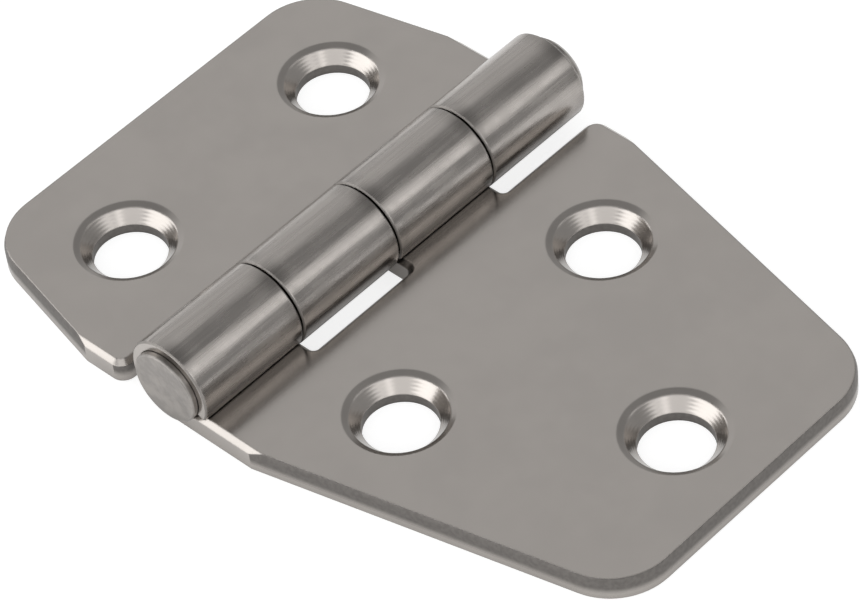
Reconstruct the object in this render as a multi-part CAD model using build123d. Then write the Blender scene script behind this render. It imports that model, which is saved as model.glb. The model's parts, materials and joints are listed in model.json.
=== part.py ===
from build123d import *
import math
import os

# Marine hinge: two leaves stamped from stainless sheet, each with tongues that are
# rolled into knuckles. The knuckles mesh round one pin with a head at +Y, peened over at -Y.
#
# Sizes are in millimetres. X runs across the pin, with the long leaf on +X.
# Y runs along the pin. Z is up, and both leaves lie on the plane Z = 0.
# The origin is under the middle of the pin, on that plane.

# Sheet, with bevelled sides, a steeper bevel round the tapered end and broken lower edges
sheet = 2.0
side_bevel = 0.4
end_inset = 0.15
end_drop = 0.45
edge_break = 0.12

# Pin and barrel
pin_diameter = 3.2
pin_clearance = 0.05
barrel_length = 40.0
knuckle_pairs = 2
knuckle_gap = 0.15
seam_gap = 0.1

# Heads of the pin, each on a cone sunk into the end of the barrel
head_diameter = 5.8
head_cone_angle = 90.0
head_height = 0.95
head_bevel = 0.35
peened_height = 0.5
peened_bevel = 0.1

# Leaf outlines, with each reach measured from the pin's axis
long_reach = 36.9
long_straight = 7.6
short_reach = 22.7
short_straight = 9.0
taper_angle = 13.0
end_corner = 5.0

# Notches in each leaf, with their gap to the barrel and the round of their shoulder at the side
long_notch_gap = 0.8
short_notch_gap = 1.5
notch_corner = 0.5
shoulder_corner = 1.1

# Screw holes, placed from the pin's axis
hole_diameter = 5.6
sink_diameter = 7.6
sink_angle = 78.0
sink_break = 0.3
hole_spacing = 21.4
long_pair_at = 13.4
long_single_at = 29.7
short_pair_at = 13.8

# Sizes that follow from those above
bore_radius = pin_diameter / 2 + pin_clearance
barrel_radius = bore_radius + sheet
axis_height = barrel_radius
knuckle_pitch = barrel_length / (2 * knuckle_pairs)
knuckle_length = knuckle_pitch - knuckle_gap
side_face = (barrel_length - knuckle_gap) / 2
roll_angle = 270 + math.degrees(math.asin((bore_radius - seam_gap) / barrel_radius))
pin_axis = Axis((0, 0, axis_height), (0, 1, 0))
same_place = 0.001


def knuckle_centres():
    """Places along the pin of the knuckles on a leaf that starts with the first one."""
    first = -barrel_length / 2 + knuckle_pitch / 2
    return [first + 2 * pair * knuckle_pitch for pair in range(knuckle_pairs)]


def corners_at(outline, x):
    """Corners of a flat outline at one distance from the pin."""
    return [v for v in outline.vertices() if abs(v.X - x) < same_place]


def rim_at(blank, level):
    """Edges round the lowest or highest face of a blank, apart from the ends of its tongues."""
    face = blank.faces().sort_by(Axis.Z)[level]
    return [e for e in face.edges() if e.center().X > same_place]


def leaf_blank(reach, straight, notch_gap):
    """Flat sheet of a leaf on +X: tongues, straight sides, then a taper to a rounded end."""
    notch_edge = barrel_radius + notch_gap
    end_half = side_face - (reach - straight) * math.tan(math.radians(taper_angle))
    outline = make_face(
        Polyline(
            (notch_edge, -side_face),
            (straight, -side_face),
            (reach, -end_half),
            (reach, end_half),
            (straight, side_face),
            (notch_edge, side_face),
            close=True,
        )
    )
    for y in knuckle_centres():
        outline += Pos(notch_edge / 2, y) * Rectangle(notch_edge, knuckle_length)
    outline = fillet(corners_at(outline, reach), end_corner)
    roots = [v for v in corners_at(outline, notch_edge) if v.Y < side_face - same_place]
    outline = fillet(roots, notch_corner)
    shoulder = [v for v in corners_at(outline, notch_edge) if v.Y > side_face - same_place]
    outline = fillet(shoulder, shoulder_corner)
    blank = extrude(outline, sheet)
    top = blank.faces().sort_by(Axis.Z)[-1]
    tapered = [e for e in rim_at(blank, -1) if e.center().X > straight]
    blank = chamfer(tapered, end_inset, end_drop, reference=top)
    sides = [e for e in rim_at(blank, -1) if e.center().X < straight]
    blank = chamfer(sides, side_bevel)
    return chamfer(rim_at(blank, 0), edge_break)


def rolled_knuckle(y):
    """End of a tongue, rolled up round the pin until it nearly meets its own leaf."""
    strip = Pos(y, sheet / 2) * Rectangle(knuckle_length, sheet)
    strip = chamfer(strip.vertices().group_by(Axis.Y)[0], edge_break)
    return revolve(Plane.YZ * strip, pin_axis, roll_angle)


def screw_hole(x, y):
    """Countersunk clearance hole through the sheet."""
    depth = (sink_diameter - hole_diameter) / 2 / math.tan(math.radians(sink_angle / 2))
    upward = (Align.CENTER, Align.CENTER, Align.MIN)
    downward = (Align.CENTER, Align.CENTER, Align.MAX)
    drill = Pos(x, y, 0) * Cylinder(hole_diameter / 2, sheet, align=upward)
    sink = Cone(hole_diameter / 2, sink_diameter / 2, depth, align=downward)
    return drill + Pos(x, y, sheet) * sink


def head_cone(gap):
    """Neck radius, rim radius and depth of the cone under a head, grown by a gap."""
    neck = pin_diameter / 2 + gap
    rim = head_diameter / 2 + gap
    return neck, rim, (rim - neck) / math.tan(math.radians(head_cone_angle / 2))


def head_seat():
    """Cone cut into the outer end of the first knuckle, where a head of the pin sits."""
    neck, rim, depth = head_cone(pin_clearance)
    seat = Cone(neck, rim, depth, align=(Align.CENTER, Align.CENTER, Align.MAX))
    return Pos(0, -side_face, axis_height) * Rot(X=90) * seat


def leaf(reach, straight, notch_gap, holes):
    """Leaf on +X that has every second knuckle, starting with the one at -Y."""
    body = leaf_blank(reach, straight, notch_gap)
    for y in knuckle_centres():
        body += rolled_knuckle(y)
    for x, y in holes:
        body -= screw_hole(x, y)
    rounds = body.edges().filter_by(GeomType.CIRCLE)
    rims = [e for e in rounds if abs(e.radius - sink_diameter / 2) < same_place]
    return chamfer(rims, sink_break) - head_seat()


def pin_half(height, bevel):
    """Half of the pin, from its middle to a head at +Y with a bevelled edge."""
    neck, rim, depth = head_cone(0)
    top = side_face + height
    half = make_face(
        Polyline(
            (0, 0),
            (neck, 0),
            (neck, side_face - depth),
            (rim, side_face),
            (rim, top),
            (0, top),
            close=True,
        )
    )
    half = chamfer(half.vertices().group_by(Axis.Y)[-1].sort_by(Axis.X)[-1], bevel)
    return revolve(half, Axis.Y)


def pin():
    """Round pin with a head at +Y and its other end peened over."""
    headed = pin_half(head_height, head_bevel)
    peened = pin_half(peened_height, peened_bevel)
    return Pos(0, 0, axis_height) * (headed + mirror(peened, Plane.XZ))


def pair_at(x):
    """Two screw holes side by side along the pin."""
    return [(x, -hole_spacing / 2), (x, hole_spacing / 2)]


long_holes = pair_at(long_pair_at) + [(long_single_at, 0)]
short_holes = pair_at(short_pair_at)
long_leaf = leaf(long_reach, long_straight, long_notch_gap, long_holes)
short_leaf = Rot(Z=180) * leaf(short_reach, short_straight, short_notch_gap, short_holes)
hinge_pin = pin()

os.makedirs("parts", exist_ok=True)
export_step(long_leaf, "parts/long_leaf.step")
export_step(short_leaf, "parts/short_leaf.step")
export_step(hinge_pin, "parts/hinge_pin.step")
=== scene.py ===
import json
import math
from typing import NamedTuple

import bpy
from mathutils import Matrix, Quaternion, Vector


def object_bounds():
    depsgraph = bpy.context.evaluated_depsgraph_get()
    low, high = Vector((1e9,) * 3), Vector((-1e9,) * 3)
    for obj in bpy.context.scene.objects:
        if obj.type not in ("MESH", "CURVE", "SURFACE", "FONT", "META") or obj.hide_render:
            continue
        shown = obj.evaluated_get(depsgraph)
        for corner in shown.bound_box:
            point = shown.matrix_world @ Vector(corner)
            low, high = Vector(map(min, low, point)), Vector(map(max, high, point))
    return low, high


# Looks of the marine hinge: satin stainless steel on a white floor, seen as in the photo.
# Blender works in metres. Sizes with _MM in their name are millimetres, in the CAD frame.
# Angles are degrees, with azimuth 0 at +X and 90 at +Y. Colours and light are linear.

MM = 0.001


class Noise(NamedTuple):
    """Noise texture: how fine it is along each axis, per millimetre, and its finer layers."""

    scale: tuple
    detail: float = 3.0
    roughness: float = 0.55


class Softbox(NamedTuple):
    """Rectangle of light in the sky. A tilt lifts the end with the larger azimuth."""

    azimuth: float
    elevation: float
    width: float
    height: float
    radiance: float
    tilt: float = 0.0


# Image and camera, from a pinhole camera fitted to the photo. The lens follows the sensor's width.
IMAGE_WIDTH_PX = 860
FOCAL_PX = 4770.1
SENSOR_WIDTH = 36.0
CAMERA_TURN = 48.311
CAMERA_ELEVATION = 45.974
CAMERA_ROLL = -7.3
CAMERA_DISTANCE_MM = 343.263
CAMERA_TARGET_MM = (6.25, -0.132, 0.0)
CAMERA_NEAR_MM = 10.0
CAMERA_FAR_MM = 20000.0

# Sizes of the part that the materials follow, beside those in the record
SHEET_TOP_MM = 2.0
KNUCKLE_PITCH_MM = 10.0
SINK_RADIUS_MM = 3.8
HEAD_FACE_Y_MM = 19.925

# Colours of the steel, from worn bright to matt. The darkest also paints shade on the cuts, in the
# holes and by the knuckle joints
STEEL_WORN = (0.540, 0.515, 0.490, 1.0)
STEEL = (0.445, 0.416, 0.390, 1.0)
STEEL_DARK = (0.374, 0.350, 0.330, 1.0)
# Matt steel, also used as painted shade on the upper cut edges, the land of each hole and the knuckle
# joints
STEEL_DULL_AND_SHADE = (0.155, 0.145, 0.136, 1.0)

# Shading of the CAD faces: facets of a curve meet at less than the angle, and corners at more
SMOOTH_ANGLE = 21.0
WELD_MM = 0.001

# Soft edges, found by the cosine between their rounded normal and the plain one
EDGE_RADIUS_MM = 0.18
EDGE_COSINE = (0.99, 0.9)

# Places of the regions: each pair is where a mask is empty and where it is full
BARREL_OVER_RADIUS_MM = (0.25, 0.1)
BARREL_OVER_SHEET_MM = (0.0, 0.2)
SINK_OVER_RADIUS_MM = (0.0, -0.15)
SINK_OVER_SHEET_MM = (-0.15, -0.25)
LAND_OVER_RADIUS_MM = (0.2, 0.1)
LAND_OVER_TOP_MM = (0.06, -0.02)
# The upper part of a cut is matt and painted darker, as shade
DULL_SHADED_CUT_HEIGHT_MM = (0.5, 1.2)
# Painted shade on the barrel fades in towards each joint of the knuckles over this stretch
PAINTED_SHADE_TO_JOINT_MM = (1.7, 0.1)
HEAD_OVER_FACE_MM = (-0.1, 0.0)

# Directions of the regions, as parts of the normal. A band has a pair to fill and one to empty.
ROUND_FACING_Y = (0.6, 0.4)
RIM_FACING_Y = ((0.4, 0.6), (0.9, 0.8))
BEVEL_FACING_Z = ((0.5, 0.6), (0.88, 0.8))
CUT_FACING_Z = (0.6, 0.4)
TAPER_FACING_Y = (0.995, 0.98)

# Stretch over the barrel's top that is painted with shade by the joints, as a band of angles round
# the pin
PAINTED_SHADE_BEND = ((50.0, 65.0), (105.0, 80.0))

# Patterns of the finish
MOTTLE = Noise((0.22, 0.22, 0.22), detail=4.0)
TUMBLE = Noise((3.5, 3.5, 3.5), detail=2.0, roughness=0.5)
GRAIN = Noise((9.0, 0.5, 1.0))
STREAK = Noise((3.0, 0.14, 0.0), detail=4.0)
PATCH = Noise((0.5, 0.45, 3.0))
DINTS = Noise((1.1, 1.1, 1.1), detail=2.0)
TURNING = Noise((0.0, 14.0, 0.0))
RING_RADIANS_PER_MM = 34.0

# Stretches of a pattern's values over which a finish changes
WIDE_SPAN = (0.3, 0.7)
STREAK_SPAN = (0.35, 0.68)
PATCH_SPAN = (0.35, 0.6)
WEAR_SPAN = (0.35, 0.6)
DINT_SPAN = (0.35, 0.65)

# Unevenness of the barrel: its streaks and a share of its patches
PATCH_IN_UNEVEN = 0.8
UNEVEN_SPAN = (0.6, 1.2)

# Shares of a second colour, all over or at the two ends of those stretches
MOTTLE_SHADE = (0.4, 0.0)
STREAK_SHADE = (0.9, 0.1)
DULL_TINT = (0.0, 0.15)
# Share of painted shade in the patches by the joints, and of all painted shade on the barrel
PATCH_PAINTED_SHADE = (0.0, 0.6)
PAINTED_SHADE_SHARE = 0.6
LEAF_WEAR = (0.05, 0.35)
DINT_SHADE = (1.0, 0.0)
HEAD_STAIN = (0.5, 0.34)
PIN_WEAR = 0.4

# Roughness
FLAT_ROUGHNESS = (0.16, 0.21)
BARREL_ROUGHNESS = (0.17, 0.34)
SINK_ROUGHNESS = 0.2
BEVEL_ROUGHNESS = 0.26
DULL_ROUGHNESS = 0.45
SHANK_ROUGHNESS = 0.25
HEAD_ROUGHNESS = (0.3, 0.42)

# Depths of the bumps
TUMBLE_DEPTH_MM = 0.0015
GRAIN_DEPTH_MM = 0.0021
STREAK_DEPTH_MM = 0.0096
RING_DEPTH_MM = 0.0009
TURNING_DEPTH_MM = 0.0048
DINT_DEPTH_MM = 0.06

# Light: a grey sky, lighter at the horizon, with soft-edged softboxes in it
SOFTBOXES = (
    Softbox(azimuth=-124, elevation=19, width=86, height=28, radiance=2.05),
    Softbox(azimuth=10, elevation=38, width=80, height=26, radiance=0.72, tilt=13),
    Softbox(azimuth=10, elevation=33, width=76, height=10, radiance=0.42, tilt=14),
    Softbox(azimuth=-53, elevation=38, width=56, height=40, radiance=0.9),
    Softbox(azimuth=155, elevation=33, width=62, height=56, radiance=0.37),
)
SOFTBOX_FADE = 0.25
SOFTBOX_AHEAD = (0.0, 0.1)
SKY_LOW = 0.46
SKY_HIGH = 0.36
SKY_HIGH_ABOVE = 35.0
WHITE = (1.0, 1.0, 1.0, 1.0)

# Floor, just under the lowest point of the hinge
FLOOR_DROP_MM = 0.02
FLOOR_HALF_SIZE_MM = 3000.0
FLOOR_COLOUR = (0.45, 0.45, 0.45, 1.0)
FLOOR_GLOW = 0.78
FLOOR_SHADE = 0.85
FLOOR_SHADE_REACH_MM = 4.0
FLOOR_SHADE_SAMPLES = 4


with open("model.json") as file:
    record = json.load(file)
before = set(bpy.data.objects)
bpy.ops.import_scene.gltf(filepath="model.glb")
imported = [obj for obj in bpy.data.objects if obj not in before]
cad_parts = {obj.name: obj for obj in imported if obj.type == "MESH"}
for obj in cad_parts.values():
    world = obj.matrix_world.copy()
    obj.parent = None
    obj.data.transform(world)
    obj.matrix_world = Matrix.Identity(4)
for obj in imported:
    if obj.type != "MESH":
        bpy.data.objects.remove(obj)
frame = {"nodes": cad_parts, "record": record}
cad_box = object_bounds()

# Sizes from the record. The barrel touches the mounting plane, so its radius is its axis's height.
record = frame["record"]
barrel_radius_mm = record["behaviour"]["joints"][0]["pos_m"][2] / MM
bores = [mount for mount in record["mounts"] if mount["kind"] == "bore"]
holes_mm = [(bore["pos_m"][0] / MM, bore["pos_m"][1] / MM) for bore in bores]
hole_radius_mm = bores[0]["dims"]["r_mm"]
land_top_mm = bores[0]["dims"]["length_mm"]


class NodeNet:
    """Short calls for building a net of nodes."""

    def __init__(self, tree):
        self.tree = tree
        tree.nodes.clear()

    def add(self, kind, **settings):
        node = self.tree.nodes.new(kind)
        for name, value in settings.items():
            setattr(node, name, value)
        return node

    def plug(self, value, socket):
        """Sets a socket to a constant, or links another socket to it."""
        if isinstance(value, bpy.types.NodeSocket):
            self.tree.links.new(value, socket)
        else:
            socket.default_value = value

    def fill(self, values, sockets):
        for value, socket in zip(values, sockets):
            self.plug(value, socket)

    def math(self, operation, *values):
        node = self.add("ShaderNodeMath", operation=operation)
        self.fill(values, node.inputs)
        return node.outputs[0]

    def vector(self, operation, *values):
        node = self.add("ShaderNodeVectorMath", operation=operation)
        self.fill(values, node.inputs)
        return node.outputs["Value" if operation in ("LENGTH", "DOT_PRODUCT") else "Vector"]

    def combine(self, x, y, z):
        node = self.add("ShaderNodeCombineXYZ")
        self.fill((x, y, z), node.inputs)
        return node.outputs[0]

    def separate(self, vector):
        node = self.add("ShaderNodeSeparateXYZ")
        self.plug(vector, node.inputs[0])
        return node.outputs

    def product(self, first, *others):
        for other in others:
            first = self.math("MULTIPLY", first, other)
        return first

    def opposite(self, mask):
        return self.math("SUBTRACT", 1.0, mask)

    def ramp(self, value, span, levels=(0.0, 1.0)):
        """Smooth step from the first level, at the start of a span, to the second, at its end."""
        node = self.add("ShaderNodeMapRange", interpolation_type="SMOOTHSTEP")
        names = ("Value", "From Min", "From Max", "To Min", "To Max")
        self.fill((value, *span, *levels), [node.inputs[name] for name in names])
        return node.outputs[0]

    def band(self, value, rising, falling):
        """Mask that fills over one span and empties over the other."""
        return self.product(self.ramp(value, rising), self.ramp(value, falling))

    def noise(self, position, kind):
        node = self.add("ShaderNodeTexNoise")
        scaled = self.vector("MULTIPLY", position, kind.scale)
        names = ("Vector", "Scale", "Detail", "Roughness")
        self.fill((scaled, 1.0, kind.detail, kind.roughness), [node.inputs[name] for name in names])
        return node.outputs[0]

    def mix_node(self, data_type, suffix, factor, first, second):
        node = self.add("ShaderNodeMix", data_type=data_type)
        inputs = {socket.identifier: socket for socket in node.inputs}
        outputs = {socket.identifier: socket for socket in node.outputs}
        names = ("Factor_Float", "A_" + suffix, "B_" + suffix)
        self.fill((factor, first, second), [inputs[name] for name in names])
        return outputs["Result_" + suffix]

    def mix(self, factor, first, second):
        return self.mix_node("FLOAT", "Float", factor, first, second)

    def mix_colour(self, factor, first, second):
        return self.mix_node("RGBA", "Color", factor, first, second)

    def end(self, kind, shader):
        """Links a shader to a new output."""
        output = self.add(kind)
        self.plug(shader.outputs[0], output.inputs[0])


def new_material(name):
    """Material with an empty node tree, and the calls that fill it."""
    material = bpy.data.materials.new(name)
    material.use_nodes = True
    return material, NodeNet(material.node_tree)


def position_mm(net):
    """Place on the object in millimetres, and its three parts."""
    coordinates = net.add("ShaderNodeTexCoord").outputs["Object"]
    place = net.vector("MULTIPLY", coordinates, (1 / MM, 1 / MM, 1 / MM))
    return place, *net.separate(place)


def facing(net):
    """Parts of the surface's direction in the CAD frame, without their signs."""
    normal = net.add("ShaderNodeVectorTransform", vector_type="NORMAL")
    normal.convert_from = "WORLD"
    normal.convert_to = "OBJECT"
    net.plug(net.add("ShaderNodeNewGeometry").outputs["True Normal"], normal.inputs[0])
    return net.separate(net.vector("ABSOLUTE", normal.outputs[0]))


def soft_edges(net):
    """Normal that is rounded over sharp edges, and a mask of those edges, which tumbling polishes."""
    edge = net.add("ShaderNodeBevel")
    edge.inputs["Radius"].default_value = EDGE_RADIUS_MM * MM
    normal = net.add("ShaderNodeNewGeometry").outputs["Normal"]
    return edge.outputs[0], net.ramp(net.vector("DOT_PRODUCT", edge.outputs[0], normal), EDGE_COSINE)


def steel_shader(net, colour, roughness, normal, height_mm):
    """Metal surface with a bumped normal, linked to the material's output."""
    bump = net.add("ShaderNodeBump")
    bump.inputs["Strength"].default_value = 1.0
    bump.inputs["Distance"].default_value = MM
    net.plug(height_mm, bump.inputs["Height"])
    net.plug(normal, bump.inputs["Normal"])
    shader = net.add("ShaderNodeBsdfPrincipled")
    shader.inputs["Metallic"].default_value = 1.0
    net.plug(colour, shader.inputs["Base Color"])
    net.plug(roughness, shader.inputs["Roughness"])
    net.plug(bump.outputs[0], shader.inputs["Normal"])
    net.end("ShaderNodeOutputMaterial", shader)


def round_pin(net, x, z):
    """Distance from the pin's axis in millimetres, and angle round it from +X in radians."""
    rise = net.math("SUBTRACT", z, barrel_radius_mm)
    return net.vector("LENGTH", net.combine(x, 0.0, rise)), net.math("ARCTAN2", rise, x)


def nearest_hole(net, x, y):
    """Distance from the axis of the nearest screw hole, in millimetres."""
    nearest = None
    for hole_x, hole_y in holes_mm:
        offset = net.combine(net.math("SUBTRACT", x, hole_x), net.math("SUBTRACT", y, hole_y), 0.0)
        away = net.vector("LENGTH", offset)
        nearest = away if nearest is None else net.math("MINIMUM", nearest, away)
    return nearest


class Regions(NamedTuple):
    """Masks of the regions of a leaf that have a finish of their own; some also carry painted shade.
    """

    barrel: bpy.types.NodeSocket
    dull_shaded_rim: bpy.types.NodeSocket
    sink: bpy.types.NodeSocket
    bevel: bpy.types.NodeSocket
    dull_and_shaded: bpy.types.NodeSocket


def leaf_regions(net, z, from_pin, to_hole):
    """Regions of a leaf, from the place and the direction of its surface.

    The straight sides and their bevels are bright. The tapers and ends were blanked, and the upper
    part of their cut is matt and painted darker as shade, as is the land below each countersink.
    """
    _, facing_y, facing_z = facing(net)
    over_sheet = net.math("SUBTRACT", z, SHEET_TOP_MM)
    over_barrel = net.math("SUBTRACT", from_pin, barrel_radius_mm)
    over_sink = net.math("SUBTRACT", to_hole, SINK_RADIUS_MM)
    over_hole = net.math("SUBTRACT", to_hole, hole_radius_mm)
    over_land = net.math("SUBTRACT", z, land_top_mm)

    above_sheet = net.ramp(over_sheet, BARREL_OVER_SHEET_MM)
    below_sheet = net.ramp(over_sheet, SINK_OVER_SHEET_MM)
    below_land = net.ramp(over_land, LAND_OVER_TOP_MM)
    near_barrel = net.product(net.ramp(over_barrel, BARREL_OVER_RADIUS_MM), above_sheet)
    sink = net.product(net.ramp(over_sink, SINK_OVER_RADIUS_MM), below_sheet)
    land = net.product(net.ramp(over_hole, LAND_OVER_RADIUS_MM), below_land)
    elsewhere = net.product(net.opposite(near_barrel), net.opposite(sink))
    cut = net.product(net.ramp(facing_z, CUT_FACING_Z), net.ramp(facing_y, TAPER_FACING_Y), elsewhere)
    return Regions(
        barrel=net.product(near_barrel, net.ramp(facing_y, ROUND_FACING_Y)),
        # Knuckle ends at the joints: rougher, and painted darker as shade in the joints
        dull_shaded_rim=net.product(near_barrel, net.band(facing_y, *RIM_FACING_Y)),
        sink=sink,
        bevel=net.product(elsewhere, net.band(facing_z, *BEVEL_FACING_Z)),
        # Upper cut edges and the land of each hole: rougher, and painted darker as shade
        dull_and_shaded=net.math("MAXIMUM", net.product(cut, net.ramp(z, DULL_SHADED_CUT_HEIGHT_MM)), land),
    )


class Patterns(NamedTuple):
    """Patterns that the finish of a leaf is mixed from."""

    mottle: bpy.types.NodeSocket
    tumble: bpy.types.NodeSocket
    grain: bpy.types.NodeSocket
    streak: bpy.types.NodeSocket
    patch: bpy.types.NodeSocket
    rings: bpy.types.NodeSocket


def leaf_patterns(net, place, y, bend, to_hole):
    """Tumbled and drawn marks, and the fine turned rings of the countersinks.

    Streaks and patches lie on the unrolled barrel: their scales are round the pin, along it, and one
    that only picks a slice of the noise.
    """
    unrolled = net.combine(net.product(bend, barrel_radius_mm), y, 1.0)
    return Patterns(
        mottle=net.noise(place, MOTTLE),
        tumble=net.noise(place, TUMBLE),
        grain=net.noise(place, GRAIN),
        streak=net.noise(unrolled, STREAK),
        patch=net.noise(unrolled, PATCH),
        rings=net.math("SINE", net.product(to_hole, RING_RADIANS_PER_MM)),
    )


def painted_joint_shade(net, y, bend, patch):
    """Painted shade on the barrel by the joints of the knuckles: a stretch over the top, and patches.
    """
    top = net.band(net.math("DEGREES", bend), *PAINTED_SHADE_BEND)
    joint_shade_mask = net.math("MAXIMUM", top, net.ramp(patch, PATCH_SPAN, PATCH_PAINTED_SHADE))
    to_joint = net.math("PINGPONG", y, KNUCKLE_PITCH_MM / 2)
    return net.product(joint_shade_mask, net.ramp(to_joint, PAINTED_SHADE_TO_JOINT_MM))


def leaf_colour(net, regions, patterns, joint_shade_mask, edges):
    """Mottled sheet and streaked barrel, with matt cuts, painted shade on the cuts, in the holes, by
    the joints and on the knuckle ends, and worn edges.
    """
    flat_shade = net.ramp(patterns.mottle, WIDE_SPAN, MOTTLE_SHADE)
    barrel_shade = net.ramp(patterns.streak, STREAK_SPAN, STREAK_SHADE)
    colour = net.mix_colour(net.mix(regions.barrel, flat_shade, barrel_shade), STEEL, STEEL_DARK)
    tint = net.ramp(patterns.tumble, WIDE_SPAN, DULL_TINT)
    # Cut edges and the land of each hole are painted darker, as shade
    colour = net.mix_colour(regions.dull_and_shaded, colour, net.mix_colour(tint, STEEL_DULL_AND_SHADE, STEEL_DARK))
    # Painted shade by the knuckle joints, over the barrel's top and on the knuckle ends
    knuckle_shade_mask = net.math("MAXIMUM", net.product(joint_shade_mask, regions.barrel), regions.dull_shaded_rim)
    colour = net.mix_colour(net.product(knuckle_shade_mask, PAINTED_SHADE_SHARE), colour, STEEL_DULL_AND_SHADE)
    wear = net.ramp(patterns.tumble, WEAR_SPAN, LEAF_WEAR)
    return net.mix_colour(net.product(edges, wear, net.opposite(regions.dull_and_shaded)), colour, STEEL_WORN)


def leaf_roughness(net, regions, patterns):
    """Satin flats, an unevenly drawn barrel, and a roughness each for sinks, bevels and cuts."""
    flat = net.ramp(patterns.mottle, WIDE_SPAN, FLAT_ROUGHNESS)
    uneven = net.math("ADD", patterns.streak, net.product(patterns.patch, PATCH_IN_UNEVEN))
    roughness = net.mix(regions.barrel, flat, net.ramp(uneven, UNEVEN_SPAN, BARREL_ROUGHNESS))
    roughness = net.mix(regions.sink, roughness, SINK_ROUGHNESS)
    roughness = net.mix(regions.bevel, roughness, BEVEL_ROUGHNESS)
    return net.mix(net.math("MAXIMUM", regions.dull_and_shaded, regions.dull_shaded_rim), roughness, DULL_ROUGHNESS)


def leaf_height(net, regions, patterns):
    """Height of the bumps in millimetres."""
    tumbled = net.product(patterns.tumble, TUMBLE_DEPTH_MM)
    flat = net.math("ADD", tumbled, net.product(patterns.grain, GRAIN_DEPTH_MM))
    height = net.mix(regions.barrel, flat, net.product(patterns.streak, STREAK_DEPTH_MM))
    return net.mix(regions.sink, height, net.product(patterns.rings, RING_DEPTH_MM))


def leaf_steel():
    """Tumbled sheet, with drawn streaks on the knuckles, turned countersinks and matt cut edges, and
    painted shade on the cuts, in the holes and by the joints.
    """
    material, net = new_material("leaf_steel_finish")
    place, x, y, z = position_mm(net)
    from_pin, bend = round_pin(net, x, z)
    to_hole = nearest_hole(net, x, y)
    normal, edges = soft_edges(net)
    regions = leaf_regions(net, z, from_pin, to_hole)
    patterns = leaf_patterns(net, place, y, bend, to_hole)
    joint_shade_mask = painted_joint_shade(net, y, bend, patterns.patch)
    colour = leaf_colour(net, regions, patterns, joint_shade_mask, edges)
    roughness = leaf_roughness(net, regions, patterns)
    steel_shader(net, colour, roughness, normal, leaf_height(net, regions, patterns))
    return material


def pin_steel():
    """Turned pin, with duller heads that the hammer has dinted."""
    material, net = new_material("pin_steel_finish")
    place, _, y, _ = position_mm(net)
    normal, edges = soft_edges(net)
    dints = net.noise(place, DINTS)
    turning = net.noise(place, TURNING)
    over_face = net.math("SUBTRACT", net.math("ABSOLUTE", y), HEAD_FACE_Y_MM)
    head = net.ramp(over_face, HEAD_OVER_FACE_MM)
    colour = net.mix_colour(net.ramp(dints, DINT_SPAN, DINT_SHADE), STEEL, STEEL_DARK)
    stain = net.product(head, net.ramp(dints, WIDE_SPAN, HEAD_STAIN))
    colour = net.mix_colour(stain, colour, STEEL_DULL_AND_SHADE)
    colour = net.mix_colour(net.product(edges, PIN_WEAR), colour, STEEL_WORN)
    roughness = net.mix(head, SHANK_ROUGHNESS, net.ramp(dints, WIDE_SPAN, HEAD_ROUGHNESS))
    height = net.mix(head, net.product(turning, TURNING_DEPTH_MM), net.product(dints, DINT_DEPTH_MM))
    steel_shader(net, colour, roughness, normal, height)
    return material


def floor_white():
    """White floor that keeps a shadow. Part of its white is a glow that the camera and the metal see.

    In the metal, the glow is shaded where the hinge stands close over the floor.
    """
    material, net = new_material("floor_white")
    rays = net.add("ShaderNodeLightPath").outputs
    openness = net.add("ShaderNodeAmbientOcclusion", samples=FLOOR_SHADE_SAMPLES)
    openness.inputs["Distance"].default_value = FLOOR_SHADE_REACH_MM * MM
    shaded = net.mix(FLOOR_SHADE, 1.0, openness.outputs["AO"])
    mirrored = net.product(rays["Is Glossy Ray"], shaded)
    seen = net.math("MAXIMUM", rays["Is Camera Ray"], mirrored)
    seen = net.math("MAXIMUM", seen, rays["Is Transmission Ray"])
    glow = net.add("ShaderNodeEmission")
    net.plug(net.product(seen, FLOOR_GLOW), glow.inputs["Strength"])
    paint = net.add("ShaderNodeBsdfDiffuse")
    paint.inputs["Color"].default_value = FLOOR_COLOUR
    both = net.add("ShaderNodeAddShader")
    net.fill((glow.outputs[0], paint.outputs[0]), both.inputs)
    net.end("ShaderNodeOutputMaterial", both)
    return material


def smooth_group():
    """Geometry nodes that shade curved faces smoothly and leave the corners sharp."""
    group = bpy.data.node_groups.new("smooth_curved_faces", "GeometryNodeTree")
    group.interface.new_socket("Geometry", in_out="INPUT", socket_type="NodeSocketGeometry")
    group.interface.new_socket("Geometry", in_out="OUTPUT", socket_type="NodeSocketGeometry")
    net = NodeNet(group)
    start = net.add("NodeGroupInput")
    all_faces = net.add("GeometryNodeSetShadeSmooth", domain="FACE")
    angle = net.add("GeometryNodeInputMeshEdgeAngle")
    corner = net.add("FunctionNodeCompare", operation="GREATER_THAN")
    corner.inputs["B"].default_value = math.radians(SMOOTH_ANGLE)
    corners = net.add("GeometryNodeSetShadeSmooth", domain="EDGE")
    corners.inputs["Shade Smooth"].default_value = False
    end = net.add("NodeGroupOutput")
    net.plug(start.outputs[0], all_faces.inputs["Geometry"])
    net.plug(all_faces.outputs[0], corners.inputs["Geometry"])
    net.plug(angle.outputs["Unsigned Angle"], corner.inputs["A"])
    net.plug(corner.outputs[0], corners.inputs["Selection"])
    net.plug(corners.outputs[0], end.inputs[0])
    return group


def shade_smooth(obj, group):
    """Joins the CAD faces along their edges and shades them as one skin."""
    weld = obj.modifiers.new("join_faces", "WELD")
    weld.merge_threshold = WELD_MM * MM
    smooth = obj.modifiers.new("smooth_curved_faces", "NODES")
    smooth.node_group = group
    even = obj.modifiers.new("even_normals", "WEIGHTED_NORMAL")
    even.keep_sharp = True


def dress(node, material, smoothing):
    """Gives a CAD object its material and its smooth shading."""
    obj = frame["nodes"][node]
    obj.data.materials.clear()
    obj.data.materials.append(material)
    shade_smooth(obj, smoothing)


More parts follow.
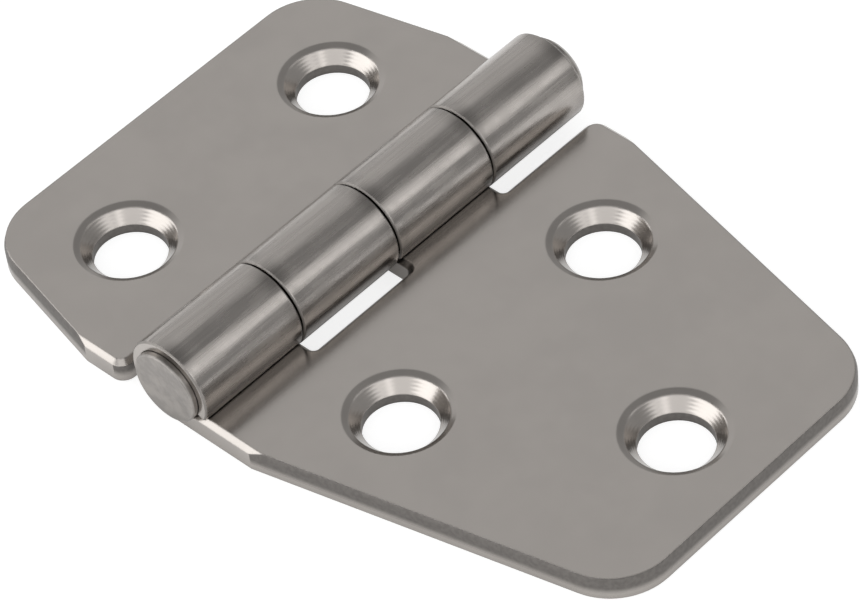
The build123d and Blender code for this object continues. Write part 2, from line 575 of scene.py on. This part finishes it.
def softbox_light(net, direction, box):
    """Light that comes from a softbox in one direction.

    It fades out round the border, by a share of the softbox's half size each way. What is ahead is a
    cosine, which keeps the softbox from shining from the opposite side too.
    """
    azimuth = math.radians(box.azimuth)
    elevation = math.radians(box.elevation)
    level = math.cos(elevation)
    middle = Vector((math.cos(azimuth) * level, math.sin(azimuth) * level, math.sin(elevation)))
    turn = middle.to_track_quat("Z", "Y") @ Quaternion((0, 0, 1), math.radians(box.tilt))
    ahead = net.vector("DOT_PRODUCT", direction, middle[:])
    light = net.product(net.ramp(ahead, SOFTBOX_AHEAD), box.radiance)
    for axis, size in ((Vector((1, 0, 0)), box.width), (Vector((0, 1, 0)), box.height)):
        half = math.tan(math.radians(size / 2))
        border = (half * (1 + SOFTBOX_FADE), half * (1 - SOFTBOX_FADE))
        sideways = net.vector("DOT_PRODUCT", direction, (turn @ axis)[:])
        from_middle = net.math("ABSOLUTE", net.math("DIVIDE", sideways, ahead))
        light = net.product(light, net.ramp(from_middle, border))
    return light


def add_world():
    """Grey sky, lighter towards the horizon, with the softboxes in it."""
    world = bpy.data.worlds.new("studio")
    world.use_nodes = True
    net = NodeNet(world.node_tree)
    direction = net.add("ShaderNodeTexCoord").outputs["Generated"]
    _, _, up = net.separate(direction)
    light = net.ramp(up, (0.0, math.sin(math.radians(SKY_HIGH_ABOVE))), (SKY_LOW, SKY_HIGH))
    for box in SOFTBOXES:
        light = net.math("ADD", light, softbox_light(net, direction, box))
    background = net.add("ShaderNodeBackground")
    background.inputs["Color"].default_value = WHITE
    net.plug(light, background.inputs["Strength"])
    net.end("ShaderNodeOutputWorld", background)
    bpy.context.scene.world = world


def add_floor():
    """Level floor just under the hinge, which is no part of it."""
    half = FLOOR_HALF_SIZE_MM * MM
    z = cad_box[0][2] - FLOOR_DROP_MM * MM
    corners = [(-half, -half, z), (half, -half, z), (half, half, z), (-half, half, z)]
    mesh = bpy.data.meshes.new("floor")
    mesh.from_pydata(corners, [], [(0, 1, 2, 3)])
    mesh.materials.append(floor_white())
    floor = bpy.data.objects.new("floor", mesh)
    bpy.context.scene.collection.objects.link(floor)


def add_camera():
    """Camera of the photo, which looks at its target from the -Y side, turned towards +X."""
    turned = math.radians(CAMERA_TURN)
    elevation = math.radians(CAMERA_ELEVATION)
    roll = math.radians(CAMERA_ROLL)
    ahead = Vector((-math.sin(turned), math.cos(turned), 0.0))
    level = Vector((math.cos(turned), math.sin(turned), 0.0))
    back = Vector((0.0, 0.0, math.sin(elevation))) - ahead * math.cos(elevation)
    upright = back.cross(level)
    right = math.cos(roll) * level + math.sin(roll) * upright
    up = math.cos(roll) * upright - math.sin(roll) * level
    data = bpy.data.cameras.new("camera")
    data.sensor_width = SENSOR_WIDTH
    data.lens = FOCAL_PX / IMAGE_WIDTH_PX * SENSOR_WIDTH
    data.clip_start = CAMERA_NEAR_MM * MM
    data.clip_end = CAMERA_FAR_MM * MM
    camera = bpy.data.objects.new("camera", data)
    bpy.context.scene.collection.objects.link(camera)
    turn = Matrix((right, up, back)).transposed().to_4x4()
    place = (Vector(CAMERA_TARGET_MM) + back * CAMERA_DISTANCE_MM) * MM
    camera.matrix_world = Matrix.Translation(place) @ turn
    bpy.context.scene.camera = camera


bpy.context.scene.view_settings.view_transform = "Standard"
smoothing = smooth_group()
sheet_finish = leaf_steel()
dress("long_leaf", sheet_finish, smoothing)
dress("short_leaf", sheet_finish, smoothing)
dress("hinge_pin", pin_steel(), smoothing)
add_world()
add_floor()
add_camera()
